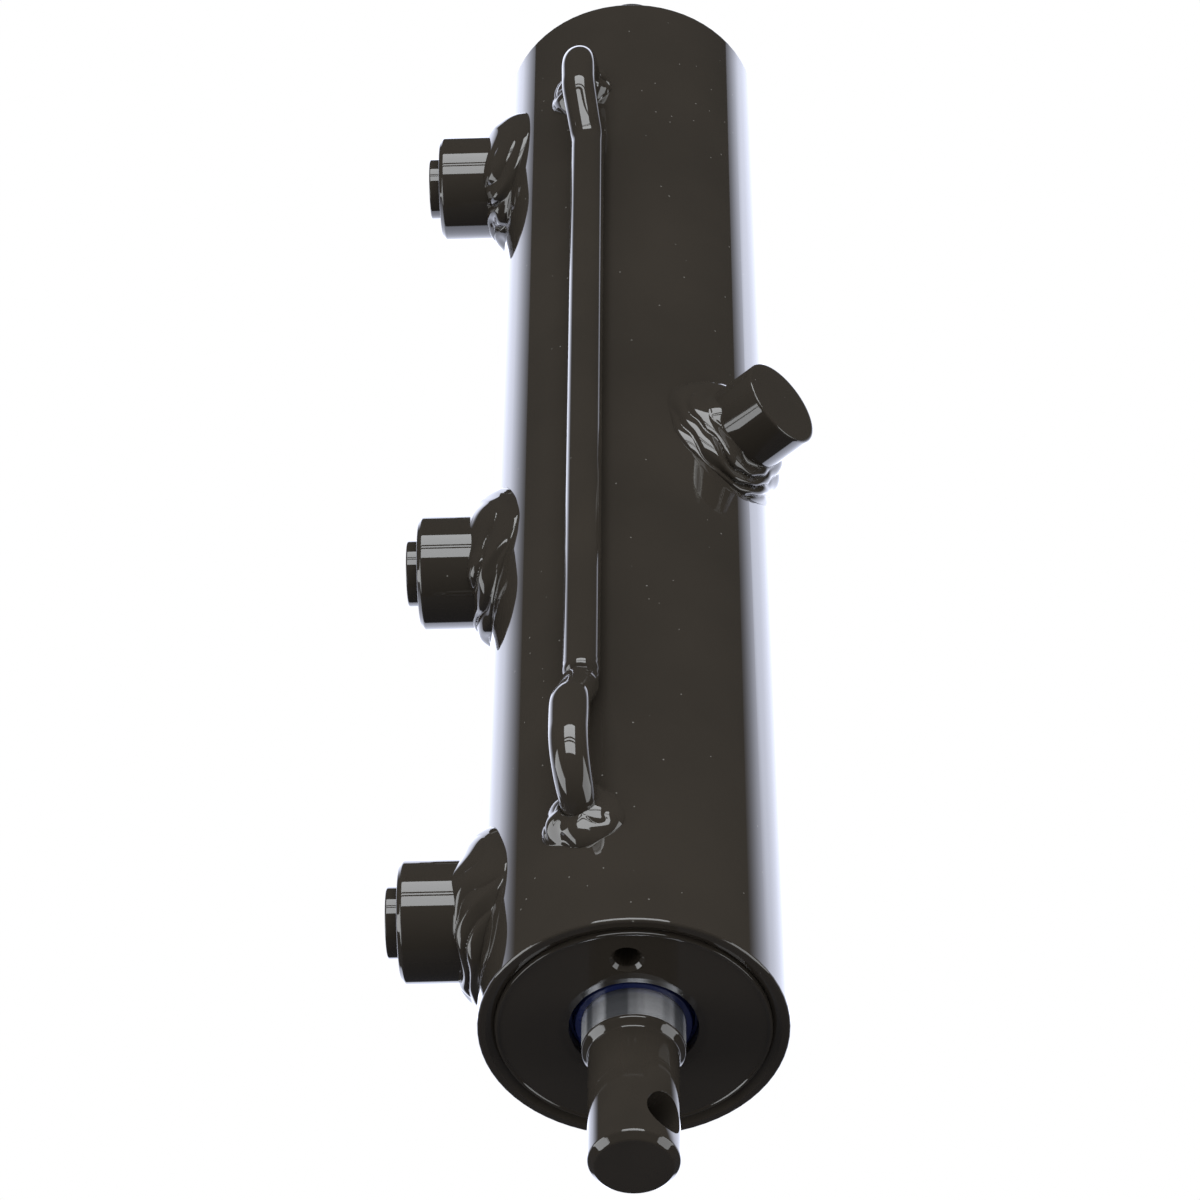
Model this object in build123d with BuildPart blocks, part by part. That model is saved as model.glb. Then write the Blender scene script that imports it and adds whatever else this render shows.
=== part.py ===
from build123d import *
import math
import os

# Double-ended hydraulic cylinder: one barrel, two rods that extend away from each other.
# The barrel lies along Y. The origin is the pin hole of the near rod, on the barrel's axis,
# with both rods in. Angles go round the axis from +X towards +Z. Lengths are in millimetres.

# Barrel
barrel_radius = 38.1
bore_radius = 31.75
barrel_length = 395.0
thread_radius = 34.0
thread_length = 20.0
mouth_radius = 36.0
mouth_depth = 1.2
rim_round = 0.8
edge_break = 1.0
wall_cut_start = bore_radius - 3
wall_cut_length = 12.0

# Rods, both the same
rod_radius = 12.7
stub_radius = 11.1
stub_tip = 43.6
step_start = 7.0
step_end = 8.6
tip_chamfer = 1.7
pin_hole_out = 33.0
pin_hole_radius = 5.55
pin_hole_angle = 42.0
spigot_radius = 10.0
spigot_setback = 0.5
spigot_chamfer = 1.5

# Glands
gland_setback = 0.5
gland_head_radius = 33.9
gland_head_chamfer = 1.0
gland_spigot_radius = 31.7
gland_spigot_end = 32.0
nose_radius = 26.0
nose_end = 47.0
gland_bore_radius = 12.9
lip_radius = 18.0
lip_depth = 0.6
wiper_housing_radius = 15.8
spanner_circle_radius = 24.3
spanner_hole_radius = 3.25
spanner_hole_depth = 8.0
spanner_chamfer = 0.9
spanner_angle = 92.0

# Seals and guides
running_gap = 0.05
end_play = 0.1
wiper_top, wiper_shoulder, wiper_end = 2.2, 4.2, 7.5
wiper_lip, wiper_flare, wiper_relief, wiper_land = 1.5, 2.2, 0.6, 0.8
rod_seal_start, rod_seal_end, rod_seal_groove = 11.0, 17.0, 16.2
cup_wall, cup_depth, cup_play = 0.7, 3.0, 0.3
guide_start, guide_end, guide_groove = 21.0, 33.0, 14.9
ring_groove_start, o_ring_end, ring_groove_end = 23.0, 26.6, 28.2
ring_groove_radius = 28.6
gland_ring_round, piston_ring_round = 1.0, 0.6

# Pistons, nuts and the stop between them
piston_front = 132.0
piston_length = 30.0
piston_radius = 31.65
nut_length = 18.0
nut_flats = 30.0
nut_bevel_width, nut_bevel_height, nut_bevel_inset = 5.0, 3.0, 0.5
piston_seal_length, wear_ring_length = 7.0, 6.0
piston_seal_depth, wear_ring_depth = 5.0, 2.5
piston_seal_land, piston_seal_hollow = 2.5, 0.5
wear_ring_inset = 2.5
piston_ring_from, piston_ring_to, piston_ring_depth = 8.0, 11.0, 1.8
stop_hole_radius = 4.5
stop_hole_circle = 22.5
stop_socket_length = 20.0

# Port bosses and plugs
port_angle = 180.0
port_stations = {"near": 38.8, "centre": 172.9, "far": 353.7}
boss_radius = 15.6
boss_face = 58.2
boss_chamfer = 1.2
port_thread_radius = 6.6
port_thread_depth = 14.0
port_drill_radius = 4.25
plug_head_radius = 9.1
plug_head_height = 3.3
plug_head_round = 0.5
plug_thread_length = 11.0
plug_socket_flats = 6.0
plug_socket_depth = 6.5
plug_seal_outer, plug_seal_inner, plug_seal_height = 8.3, 7.0, 1.2

# Anchor pin
anchor_station = 197.0
anchor_angle = 41.7
anchor_radius = 12.7
anchor_face = 56.2
anchor_edge_round = 0.8
anchor_neck_radius = 12.3
anchor_neck_top = 44.6
anchor_spigot_radius = 6.0
anchor_spigot_foot = 21.0
anchor_spigot_overlap = 2.0

# Crossover tube, its points given as station, distance from the axis and angle
tube_radius = 4.76
tube_bore_radius = 3.2
tube_run_angle = 105.3
tube_run_height = 44.2
tube_hump_height = 53.2
tube_hump_lift = 0.9
tube_foot_height = 32.2
tube_foot_angle = {"near": 107.8, "far": 111.6}
tube_foot = {"near": 38.1, "far": 352.0}
tube_crest = {"near": 63.2, "far": 331.0}
tube_dip = {"near": 79.7, "far": 316.0}
tube_bends = [13.4, 8.5, 7.7, 14.0, 9.0, 11.5]
tube_hole_back, tube_hole_length = 3.0, 14.0

# Weld beads: height up the piece and reach along the barrel
port_weld_rise, port_weld_reach = 5.6, 7.2
anchor_weld_rise, anchor_weld_reach = 6.2, 8.4
tube_weld_rise, tube_weld_reach = 3.8, 5.6
weld_skirt, weld_overrun, weld_draft = 1.5, 6.0, 15.0

near_face = pin_hole_out
far_face = near_face + barrel_length
middle = (near_face + far_face) / 2
ends = ("near", "far")
face_at = {"near": near_face, "far": far_face}
outward = {"near": -1, "far": 1}

os.makedirs("parts", exist_ok=True)


def save(part, label):
    """Labels a finished piece and writes it to its own file."""
    part.label = label
    export_step(part, f"parts/{label}.step")


def spot(station, distance, angle):
    """A point from its station along the barrel, its distance from the axis and its angle."""
    turn = math.radians(angle)
    return Vector(distance * math.cos(turn), near_face + station, distance * math.sin(turn))


def radial_plane(station, distance, angle):
    """A plane whose normal leaves the axis at the angle, with its x along the barrel."""
    normal = spot(station, 1, angle) - spot(station, 0, angle)
    return Plane(origin=spot(station, distance, angle), x_dir=(0, 1, 0), z_dir=normal)


def end_section(end):
    """A half-section plane: x is the radius, y is the distance out from that end's face."""
    return Plane(origin=(0, face_at[end], 0), x_dir=(1, 0, 0), z_dir=(0, 0, outward[end]))


def tube_points():
    """The crossover tube's corner points, from the near foot to the far foot."""
    half = []
    for end in ends:
        half.append([
            spot(tube_foot[end], tube_foot_height, tube_foot_angle[end]),
            spot(tube_foot[end], tube_hump_height + tube_hump_lift, tube_run_angle),
            spot(tube_crest[end], tube_hump_height, tube_run_angle),
            spot(tube_dip[end], tube_run_height, tube_run_angle),
        ])
    return half[0] + half[1][::-1]


def weld_bead(top_plane, top_height, piece_radius, reach, rise):
    """A weld round a round piece: a tapered collar cut to follow the barrel inside and out."""
    with BuildPart() as bead:
        with BuildSketch(top_plane.offset(wall_cut_start - top_height)):
            Circle(piece_radius + reach + weld_skirt)
        extrude(amount=barrel_radius + rise + weld_overrun - bore_radius, taper=weld_draft)
        with BuildSketch(top_plane):
            Circle(piece_radius)
        extrude(amount=-top_height, mode=Mode.SUBTRACT)
        across = Plane.XZ.offset(-top_plane.origin.Y - 2 * piece_radius - reach)
        with BuildSketch(across):
            Circle(barrel_radius + 3 * rise)
            Circle(barrel_radius + rise, mode=Mode.SUBTRACT)
        extrude(amount=4 * piece_radius + 2 * reach, mode=Mode.SUBTRACT)
        with BuildSketch(across):
            Circle(barrel_radius)
        extrude(amount=4 * piece_radius + 2 * reach, mode=Mode.SUBTRACT)
    return bead.part


tube_route = tube_points()
leg_start = {"near": tube_route[0], "far": tube_route[-1]}
leg_corner = {"near": tube_route[1], "far": tube_route[-2]}
leg_plane = {
    end: Plane(origin=leg_start[end], z_dir=leg_corner[end] - leg_start[end]) for end in ends
}

# Barrel: honed tube, threaded inside at both ends, drilled for the ports, tube and anchor pin.
with BuildPart() as barrel:
    with BuildSketch(end_section("near")) as barrel_section:
        with BuildLine():
            Polyline(
                (barrel_radius, 0),
                (mouth_radius, 0),
                (thread_radius, -mouth_depth),
                (thread_radius, -thread_length),
                (bore_radius, -thread_length),
                (bore_radius, thread_length - barrel_length),
                (thread_radius, thread_length - barrel_length),
                (thread_radius, mouth_depth - barrel_length),
                (mouth_radius, -barrel_length),
                (barrel_radius, -barrel_length),
                close=True,
            )
        make_face()
        fillet(barrel_section.vertices().group_by(Axis.X)[-1], radius=rim_round)
    revolve(axis=Axis.Y)
    for station in port_stations.values():
        with BuildSketch(radial_plane(station, wall_cut_start, port_angle)):
            Circle(port_drill_radius)
        extrude(amount=wall_cut_length, mode=Mode.SUBTRACT)
    with BuildSketch(radial_plane(anchor_station, wall_cut_start, anchor_angle)):
        Circle(anchor_spigot_radius)
    extrude(amount=wall_cut_length, mode=Mode.SUBTRACT)
    for end in ends:
        with BuildSketch(leg_plane[end].offset(-tube_hole_back)):
            Circle(tube_radius)
        extrude(amount=tube_hole_length, mode=Mode.SUBTRACT)
save(barrel.part, "barrel")

# Centre stop: drilled steel disc that parts the pistons and takes the anchor pin's spigot.
stop_half = middle - near_face - piston_front - piston_length - nut_length
with BuildPart() as centre_stop:
    with BuildSketch(Plane.XZ.offset(-middle)):
        Circle(bore_radius - running_gap)
        with PolarLocations(stop_hole_circle, 4, start_angle=anchor_angle + 45):
            Circle(stop_hole_radius, mode=Mode.SUBTRACT)
    extrude(amount=stop_half, both=True)
    stop_rims = centre_stop.edges().filter_by(GeomType.CIRCLE).sort_by(SortBy.RADIUS)[-2:]
    chamfer(stop_rims, length=edge_break)
    with BuildSketch(radial_plane(anchor_station, anchor_spigot_foot, anchor_angle)):
        Circle(anchor_spigot_radius)
    extrude(amount=stop_socket_length, mode=Mode.SUBTRACT)
save(centre_stop.part, "centre_stop")

for end in ends:
    section = end_section(end)

    # Gland: threaded head, spigot with the ring groove, and a nose that stops the piston.
    with BuildPart() as gland:
        with BuildSketch(section):
            with BuildLine():
                Polyline(
                    (wiper_housing_radius, -gland_setback - lip_depth),
                    (lip_radius, -gland_setback),
                    (gland_head_radius - gland_head_chamfer, -gland_setback),
                    (gland_head_radius, -gland_setback - gland_head_chamfer),
                    (gland_head_radius, -thread_length),
                    (gland_spigot_radius, -thread_length),
                    (gland_spigot_radius, -ring_groove_start),
                    (ring_groove_radius, -ring_groove_start),
                    (ring_groove_radius, -ring_groove_end),
                    (gland_spigot_radius, -ring_groove_end),
                    (gland_spigot_radius, -gland_spigot_end + edge_break),
                    (gland_spigot_radius - edge_break, -gland_spigot_end),
                    (nose_radius, -gland_spigot_end),
                    (nose_radius, -nose_end + edge_break),
                    (nose_radius - edge_break, -nose_end),
                    (gland_bore_radius + edge_break, -nose_end),
                    (gland_bore_radius, -nose_end + edge_break),
                    (gland_bore_radius, -guide_end),
                    (guide_groove, -guide_end),
                    (guide_groove, -guide_start),
                    (gland_bore_radius, -guide_start),
                    (gland_bore_radius, -rod_seal_end),
                    (rod_seal_groove, -rod_seal_end),
                    (rod_seal_groove, -rod_seal_start),
                    (gland_bore_radius, -rod_seal_start),
                    (gland_bore_radius, -wiper_end),
                    (wiper_housing_radius, -wiper_end),
                    close=True,
                )
            make_face()
        revolve(axis=Axis.Y)
        for angle in (spanner_angle, spanner_angle + 180):
            hole_x = spanner_circle_radius * math.cos(math.radians(angle))
            hole_z = spanner_circle_radius * math.sin(math.radians(angle))
            hole_y = face_at[end] - outward[end] * gland_setback
            mouth = Plane((hole_x, hole_y, hole_z), x_dir=(1, 0, 0), z_dir=(0, outward[end], 0))
            with Locations(mouth):
                CounterSinkHole(
                    radius=spanner_hole_radius,
                    counter_sink_radius=spanner_hole_radius + spanner_chamfer,
                    depth=spanner_hole_depth,
                    counter_sink_angle=90,
                )
    save(gland.part, f"{end}_gland")

    # Wiper: polyurethane ring whose lip scrapes the rod at the gland's mouth.
    with BuildPart() as wiper:
        with BuildSketch(section):
            with BuildLine():
                Polyline(
                    (rod_radius + running_gap, -wiper_top),
                    (rod_radius + wiper_lip, -wiper_top),
                    (rod_radius + wiper_flare, -wiper_shoulder),
                    (wiper_housing_radius, -wiper_shoulder),
                    (wiper_housing_radius, -wiper_end),
                    (rod_radius + wiper_relief, -wiper_end),
                    (rod_radius + wiper_relief, -wiper_shoulder),
                    (rod_radius + running_gap, -wiper_top - wiper_land),
                    close=True,
                )
            make_face()
        revolve(axis=Axis.Y)
    save(wiper.part, f"{end}_wiper")

    # Rod seal: U-cup, open towards the pressure.
    cup_middle = (rod_radius + running_gap + rod_seal_groove) / 2
    with BuildPart() as rod_seal:
        with BuildSketch(section):
            with BuildLine():
                Polyline(
                    (rod_radius + running_gap, -rod_seal_start - end_play),
                    (rod_seal_groove, -rod_seal_start - end_play),
                    (rod_seal_groove, -rod_seal_end + cup_play),
                    (rod_seal_groove - cup_wall, -rod_seal_end + cup_play),
                    (cup_middle, -rod_seal_end + cup_depth),
                    (rod_radius + running_gap + cup_wall, -rod_seal_end + cup_play),
                    (rod_radius + running_gap, -rod_seal_end + cup_play),
                    close=True,
                )
            make_face()
        revolve(axis=Axis.Y)
    save(rod_seal.part, f"{end}_rod_seal")

    # Rod guide: plain bearing ring in the gland.
    with BuildPart() as rod_guide:
        with BuildSketch(section):
            with BuildLine():
                Polyline(
                    (rod_radius + running_gap, -guide_start - end_play),
                    (guide_groove, -guide_start - end_play),
                    (guide_groove, -guide_end + end_play),
                    (rod_radius + running_gap, -guide_end + end_play),
                    close=True,
                )
            make_face()
        revolve(axis=Axis.Y)
    save(rod_guide.part, f"{end}_rod_guide")

    # Gland O-ring, squeezed between groove and bore, with its back-up ring behind it.
    with BuildPart() as gland_o_ring:
        with BuildSketch(section) as o_ring_section:
            with BuildLine():
                Polyline(
                    (ring_groove_radius, -ring_groove_start),
                    (bore_radius, -ring_groove_start),
                    (bore_radius, -o_ring_end),
                    (ring_groove_radius, -o_ring_end),
                    close=True,
                )
            make_face()
            fillet(o_ring_section.vertices(), radius=gland_ring_round)
        revolve(axis=Axis.Y)
    save(gland_o_ring.part, f"{end}_gland_o_ring")

    with BuildPart() as gland_backup_ring:
        with BuildSketch(section):
            with BuildLine():
                Polyline(
                    (ring_groove_radius, -o_ring_end),
                    (bore_radius, -o_ring_end),
                    (bore_radius, -ring_groove_end),
                    (ring_groove_radius, -ring_groove_end),
                    close=True,
                )
            make_face()
        revolve(axis=Axis.Y)
    save(gland_backup_ring.part, f"{end}_gland_backup_ring")

    # Rod: one turned bar, chromed where it runs in the gland, with a plain stub cross-drilled
    # for a pin outside and a threaded spigot inside.
    rod_inner_end = piston_front + piston_length + nut_length
    with BuildPart() as rod:
        with BuildSketch(section):
            with BuildLine():
                Polyline(
                    (0, stub_tip),
                    (stub_radius - tip_chamfer, stub_tip),
                    (stub_radius, stub_tip - tip_chamfer),
                    (stub_radius, step_end),
                    (rod_radius, step_start),
                    (rod_radius, -piston_front),
                    (spigot_radius, -piston_front),
                    (spigot_radius, -rod_inner_end + spigot_setback + spigot_chamfer),
                    (spigot_radius - spigot_chamfer, -rod_inner_end + spigot_setback),
                    (0, -rod_inner_end + spigot_setback),
                    close=True,
                )
            make_face()
        revolve(axis=Axis.Y)
        hole_station = -pin_hole_out if end == "near" else barrel_length + pin_hole_out
        with BuildSketch(radial_plane(hole_station, 0, pin_hole_angle)):
            Circle(pin_hole_radius)
        extrude(amount=2 * stub_radius, both=True, mode=Mode.SUBTRACT)
    save(rod.part, f"{end}_rod")

    # Piston: a seal groove in the middle, a wear-ring groove near each face, and a ring groove
    # inside for the O-ring that seals it to the rod.
    seal_from = piston_front + (piston_length - piston_seal_length) / 2
    seal_to = seal_from + piston_seal_length
    wear_from = {
        "front": piston_front + wear_ring_inset,
        "back": piston_front + piston_length - wear_ring_inset - wear_ring_length,
    }
    with BuildPart() as piston:
        with BuildSketch(section):
            with BuildLine():
                Polyline(
                    (spigot_radius, -piston_front),
                    (piston_radius - edge_break, -piston_front),
                    (piston_radius, -piston_front - edge_break),
                    (piston_radius, -piston_front - piston_length + edge_break),
                    (piston_radius - edge_break, -piston_front - piston_length),
                    (spigot_radius, -piston_front - piston_length),
                    close=True,
                )
            make_face()
        revolve(axis=Axis.Y)
        with BuildSketch(section):
            with BuildLine():
                Polyline(
                    (piston_radius - piston_seal_depth, -seal_from),
                    (bore_radius + edge_break, -seal_from),
                    (bore_radius + edge_break, -seal_to),
                    (piston_radius - piston_seal_depth, -seal_to),
                    close=True,
                )
            make_face()
            for start in wear_from.values():
                with BuildLine():
                    Polyline(
                        (piston_radius - wear_ring_depth, -start),
                        (bore_radius + edge_break, -start),
                        (bore_radius + edge_break, -start - wear_ring_length),
                        (piston_radius - wear_ring_depth, -start - wear_ring_length),
                        close=True,
                    )
                make_face()
            with BuildLine():
                Polyline(
                    (spigot_radius - edge_break, -piston_front - piston_ring_from),
                    (spigot_radius + piston_ring_depth, -piston_front - piston_ring_from),
                    (spigot_radius + piston_ring_depth, -piston_front - piston_ring_to),
                    (spigot_radius - edge_break, -piston_front - piston_ring_to),
                    close=True,
                )
            make_face()
        revolve(axis=Axis.Y, mode=Mode.SUBTRACT)
    save(piston.part, f"{end}_piston")

    # Piston seal: one slide ring with a shallow groove round its face.
    slide_radius = bore_radius - running_gap
    hollow_from = seal_from + piston_seal_land + piston_seal_hollow
    hollow_to = seal_to - piston_seal_land - piston_seal_hollow
    with BuildPart() as piston_seal:
        with BuildSketch(section):
            with BuildLine():
                Polyline(
                    (piston_radius - piston_seal_depth, -seal_from - end_play),
                    (slide_radius, -seal_from - end_play),
                    (slide_radius, -seal_from - piston_seal_land),
                    (slide_radius - piston_seal_hollow, -hollow_from),
                    (slide_radius - piston_seal_hollow, -hollow_to),
                    (slide_radius, -seal_to + piston_seal_land),
                    (slide_radius, -seal_to + end_play),
                    (piston_radius - piston_seal_depth, -seal_to + end_play),
                    close=True,
                )
            make_face()
        revolve(axis=Axis.Y)
    save(piston_seal.part, f"{end}_piston_seal")

    # Wear rings: the two plain bands that keep the piston off the bore.
    for side, start in wear_from.items():
        with BuildPart() as wear_ring:
            with BuildSketch(section):
                with BuildLine():
                    Polyline(
                        (piston_radius - wear_ring_depth, -start - end_play),
                        (slide_radius, -start - end_play),
                        (slide_radius, -start - wear_ring_length + end_play),
                        (piston_radius - wear_ring_depth, -start - wear_ring_length + end_play),
                        close=True,
                    )
                make_face()
            revolve(axis=Axis.Y)
        save(wear_ring.part, f"{end}_piston_{side}_wear_ring")

    # Piston O-ring, between the piston and the rod's spigot.
    ring_from = piston_front + piston_ring_from + end_play
    ring_to = piston_front + piston_ring_to - end_play
    with BuildPart() as piston_o_ring:
        with BuildSketch(section) as inner_ring_section:
            with BuildLine():
                Polyline(
                    (spigot_radius, -ring_from),
                    (spigot_radius + piston_ring_depth, -ring_from),
                    (spigot_radius + piston_ring_depth, -ring_to),
                    (spigot_radius, -ring_to),
                    close=True,
                )
            make_face()
            fillet(inner_ring_section.vertices(), radius=piston_ring_round)
        revolve(axis=Axis.Y)
    save(piston_o_ring.part, f"{end}_piston_o_ring")

    # Piston nut: hexagon nut that holds the piston, and bears on the centre stop.
    nut_face = face_at[end] - outward[end] * (piston_front + piston_length)
    nut_plane = Plane((0, nut_face, 0), x_dir=(1, 0, 0), z_dir=(0, -outward[end], 0))
    with BuildPart() as piston_nut:
        with BuildSketch(nut_plane):
            RegularPolygon(nut_flats / 2, side_count=6, major_radius=False)
            Circle(spigot_radius, mode=Mode.SUBTRACT)
        extrude(amount=nut_length)
        with BuildSketch(section):
            with BuildLine():
                Polyline(
                    (nut_flats / 2 - nut_bevel_inset, -rod_inner_end),
                    (nut_flats / 2 + nut_bevel_width, -rod_inner_end),
                    (nut_flats / 2 + nut_bevel_width, -rod_inner_end + nut_bevel_height),
                    close=True,
                )
            make_face()
        revolve(axis=Axis.Y, mode=Mode.SUBTRACT)
    save(piston_nut.part, f"{end}_piston_nut")

# Port bosses: round blocks coped to the barrel, threaded for the plugs and drilled through.
for name, station in port_stations.items():
    face_plane = radial_plane(station, boss_face, port_angle)
    with BuildPart() as boss:
        with BuildSketch(face_plane):
            Circle(boss_radius)
        extrude(amount=-(boss_face - bore_radius))
        chamfer(boss.faces().sort_by(Axis.X)[0].edges(), length=boss_chamfer)
        with Locations(face_plane):
            CounterBoreHole(
                radius=port_drill_radius,
                counter_bore_radius=port_thread_radius,
                counter_bore_depth=port_thread_depth,
            )
        with BuildSketch(Plane.XZ.offset(-near_face - station - 2 * boss_radius)):
            Circle(barrel_radius)
        extrude(amount=4 * boss_radius, mode=Mode.SUBTRACT)
    save(boss.part, f"{name}_port_boss")

    # Plug: collar head with a hexagon socket, and a threaded shank down the port.
    with BuildPart() as plug:
        with BuildSketch(face_plane):
            Circle(plug_head_radius)
        extrude(amount=plug_head_height)
        fillet(plug.faces().sort_by(Axis.X)[0].edges(), radius=plug_head_round)
        with BuildSketch(face_plane):
            Circle(port_thread_radius)
        extrude(amount=-plug_thread_length)
        with BuildSketch(face_plane):
            Circle(plug_seal_outer)
            Circle(plug_seal_inner, mode=Mode.SUBTRACT)
        extrude(amount=plug_seal_height, mode=Mode.SUBTRACT)
        with BuildSketch(face_plane.offset(plug_head_height)):
            RegularPolygon(plug_socket_flats / 2, side_count=6, major_radius=False)
        extrude(amount=-plug_socket_depth, mode=Mode.SUBTRACT)
    save(plug.part, f"{name}_port_plug")

    # Plug seal: ring in the groove under the plug's head, pressed against the boss.
    with BuildPart() as plug_seal:
        with BuildSketch(face_plane):
            Circle(plug_seal_outer)
            Circle(plug_seal_inner, mode=Mode.SUBTRACT)
        extrude(amount=plug_seal_height)
    save(plug_seal.part, f"{name}_port_seal")

    # Weld round the boss.
    port_bead = weld_bead(face_plane, boss_face, boss_radius, port_weld_reach, port_weld_rise)
    save(port_bead, f"{name}_port_weld")

# Anchor pin: solid bar coped to the barrel, with a slight neck where the weld is laid, and a
# spigot through the wall into the centre stop.
anchor_plane = radial_plane(anchor_station, anchor_face, anchor_angle)
with BuildPart() as anchor_pin:
    with BuildSketch(anchor_plane):
        Circle(anchor_radius)
    extrude(amount=anchor_neck_top - anchor_face)
    anchor_rims = anchor_pin.edges().filter_by(GeomType.CIRCLE).sort_by_distance((0, 0, 0))
    fillet(anchor_rims[-1], radius=anchor_edge_round)
    with BuildSketch(anchor_plane.offset(anchor_neck_top - anchor_face)):
        Circle(anchor_neck_radius)
    extrude(amount=bore_radius - anchor_neck_top)
    with BuildSketch(Plane.XZ.offset(-near_face - anchor_station - 2 * anchor_radius)):
        Circle(barrel_radius)
    extrude(amount=4 * anchor_radius, mode=Mode.SUBTRACT)
    with BuildSketch(anchor_plane.offset(anchor_spigot_foot - anchor_face)):
        Circle(anchor_spigot_radius)
    extrude(amount=barrel_radius + anchor_spigot_overlap - anchor_spigot_foot)
save(anchor_pin.part, "anchor_pin")

anchor_bead = weld_bead(
    anchor_plane, anchor_face, anchor_neck_radius, anchor_weld_reach, anchor_weld_rise
)
save(anchor_bead, "anchor_weld")

# Crossover tube: bent steel pipe that joins the two rod-side chambers, let into the wall.
with BuildPart() as crossover_tube:
    with BuildLine() as tube_line:
        FilletPolyline(*tube_route, radius=tube_bends)
    with BuildSketch(leg_plane["near"]):
        Circle(tube_radius)
        Circle(tube_bore_radius, mode=Mode.SUBTRACT)
    sweep(path=tube_line.line)
save(crossover_tube.part, "crossover_tube")

for end in ends:
    leg_length = (leg_corner[end] - leg_start[end]).length
    tube_bead = weld_bead(
        leg_plane[end].offset(leg_length),
        tube_foot_height + leg_length,
        tube_radius,
        tube_weld_reach,
        tube_weld_rise,
    )
    save(tube_bead, f"{end}_tube_weld")
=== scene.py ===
import math

import bmesh
import bpy
import numpy as np
from mathutils import Matrix, Vector


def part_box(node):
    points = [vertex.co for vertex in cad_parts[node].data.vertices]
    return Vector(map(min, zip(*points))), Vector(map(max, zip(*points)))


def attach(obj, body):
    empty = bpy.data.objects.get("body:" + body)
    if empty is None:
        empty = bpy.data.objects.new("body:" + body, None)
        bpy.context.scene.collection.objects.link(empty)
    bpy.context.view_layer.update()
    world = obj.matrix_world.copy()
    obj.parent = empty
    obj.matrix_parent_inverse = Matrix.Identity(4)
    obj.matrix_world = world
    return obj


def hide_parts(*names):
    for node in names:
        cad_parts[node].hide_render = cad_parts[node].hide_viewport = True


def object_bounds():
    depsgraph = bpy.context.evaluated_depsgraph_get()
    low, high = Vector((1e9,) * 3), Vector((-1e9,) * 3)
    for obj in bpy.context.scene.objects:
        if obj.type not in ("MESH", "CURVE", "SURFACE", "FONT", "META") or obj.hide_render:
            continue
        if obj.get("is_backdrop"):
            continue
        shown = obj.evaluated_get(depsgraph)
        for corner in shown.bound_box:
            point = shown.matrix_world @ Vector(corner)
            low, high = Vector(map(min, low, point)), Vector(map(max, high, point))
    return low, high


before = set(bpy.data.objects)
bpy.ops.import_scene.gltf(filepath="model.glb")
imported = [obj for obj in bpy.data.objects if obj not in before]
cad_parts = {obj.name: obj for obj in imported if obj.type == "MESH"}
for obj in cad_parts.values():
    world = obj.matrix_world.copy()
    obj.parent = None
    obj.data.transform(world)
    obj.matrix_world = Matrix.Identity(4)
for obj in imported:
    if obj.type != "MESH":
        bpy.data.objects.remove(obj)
cad_low, cad_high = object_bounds()

# ---------------------------------------------------------------------------------------------
# Barrel: honed steel tube, its rims rounded over, sprayed with thin gloss black after welding.
# The paint has an orange-peel skin, a slow drift of its brown cast, and caught dust. A scuff
# runs along the barrel on the near side of the anchor pin. The CAD tube stays.
# ---------------------------------------------------------------------------------------------
PAINT = (0.0182, 0.0157, 0.0129)
PAINT_DRIFT = (0.0210, 0.0180, 0.0147)
DUST = (0.16, 0.16, 0.15)
DUST_SHOWS, DUST_HEIGHT = 0.55, 6e-6
SCUFF_SHOWS, SCUFF_HEIGHT = 0.12, -4e-6
CLEAR_COAT_IOR = 1.5
scuff_radius, scuff_angle, scuff_station = 0.0381, 61.0, 0.203
scuff_shape = (700.0, 110.0, 700.0)  # one over the streak's half size in metres


def node(tree, kind, inputs, **settings):
    """Adds a shader node. An input is given a value, or is linked where a socket is given."""
    made = tree.nodes.new(kind)
    for key, value in settings.items():
        setattr(made, key, value)
    for key, value in inputs.items():
        if isinstance(value, bpy.types.NodeSocket):
            tree.links.new(value, made.inputs[key])
        else:
            made.inputs[key].default_value = value
    return made


def maths(tree, operation, *values):
    """A Math node's output, its inputs in order."""
    return node(tree, "ShaderNodeMath", dict(enumerate(values)), operation=operation).outputs[0]


def object_point(tree):
    """The shaded point in the object's own coordinates."""
    return node(tree, "ShaderNodeTexCoord", {}).outputs["Object"]


def noise(tree, where, scale, detail):
    """Noise from about 0 to 1 at a point."""
    return node(tree, "ShaderNodeTexNoise",
                {"Vector": where, "Scale": scale, "Detail": detail}).outputs[0]


def stretched(tree, where, factors):
    """A point with each coordinate multiplied by its own factor."""
    return node(tree, "ShaderNodeVectorMath", {0: where, 1: factors},
                operation="MULTIPLY").outputs[0]


def ramp(tree, value, low, high, start=0.0, end=1.0):
    """Start up to low, end from high on, and a straight line between them."""
    return node(tree, "ShaderNodeMapRange", {"Value": value, "From Min": low, "From Max": high,
                                             "To Min": start, "To Max": end}).outputs[0]


def blend_colours(tree, share, first, second):
    """A Mix node's colour, from first at a share of 0 to second at 1."""
    made = tree.nodes.new("ShaderNodeMix")
    made.data_type = "RGBA"
    tree.links.new(share, made.inputs["Factor"])
    for socket, colour in ((made.inputs[6], first), (made.inputs[7], second)):
        if isinstance(colour, bpy.types.NodeSocket):
            tree.links.new(colour, socket)
        else:
            socket.default_value = (*colour, 1)
    return made.outputs[2]


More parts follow.
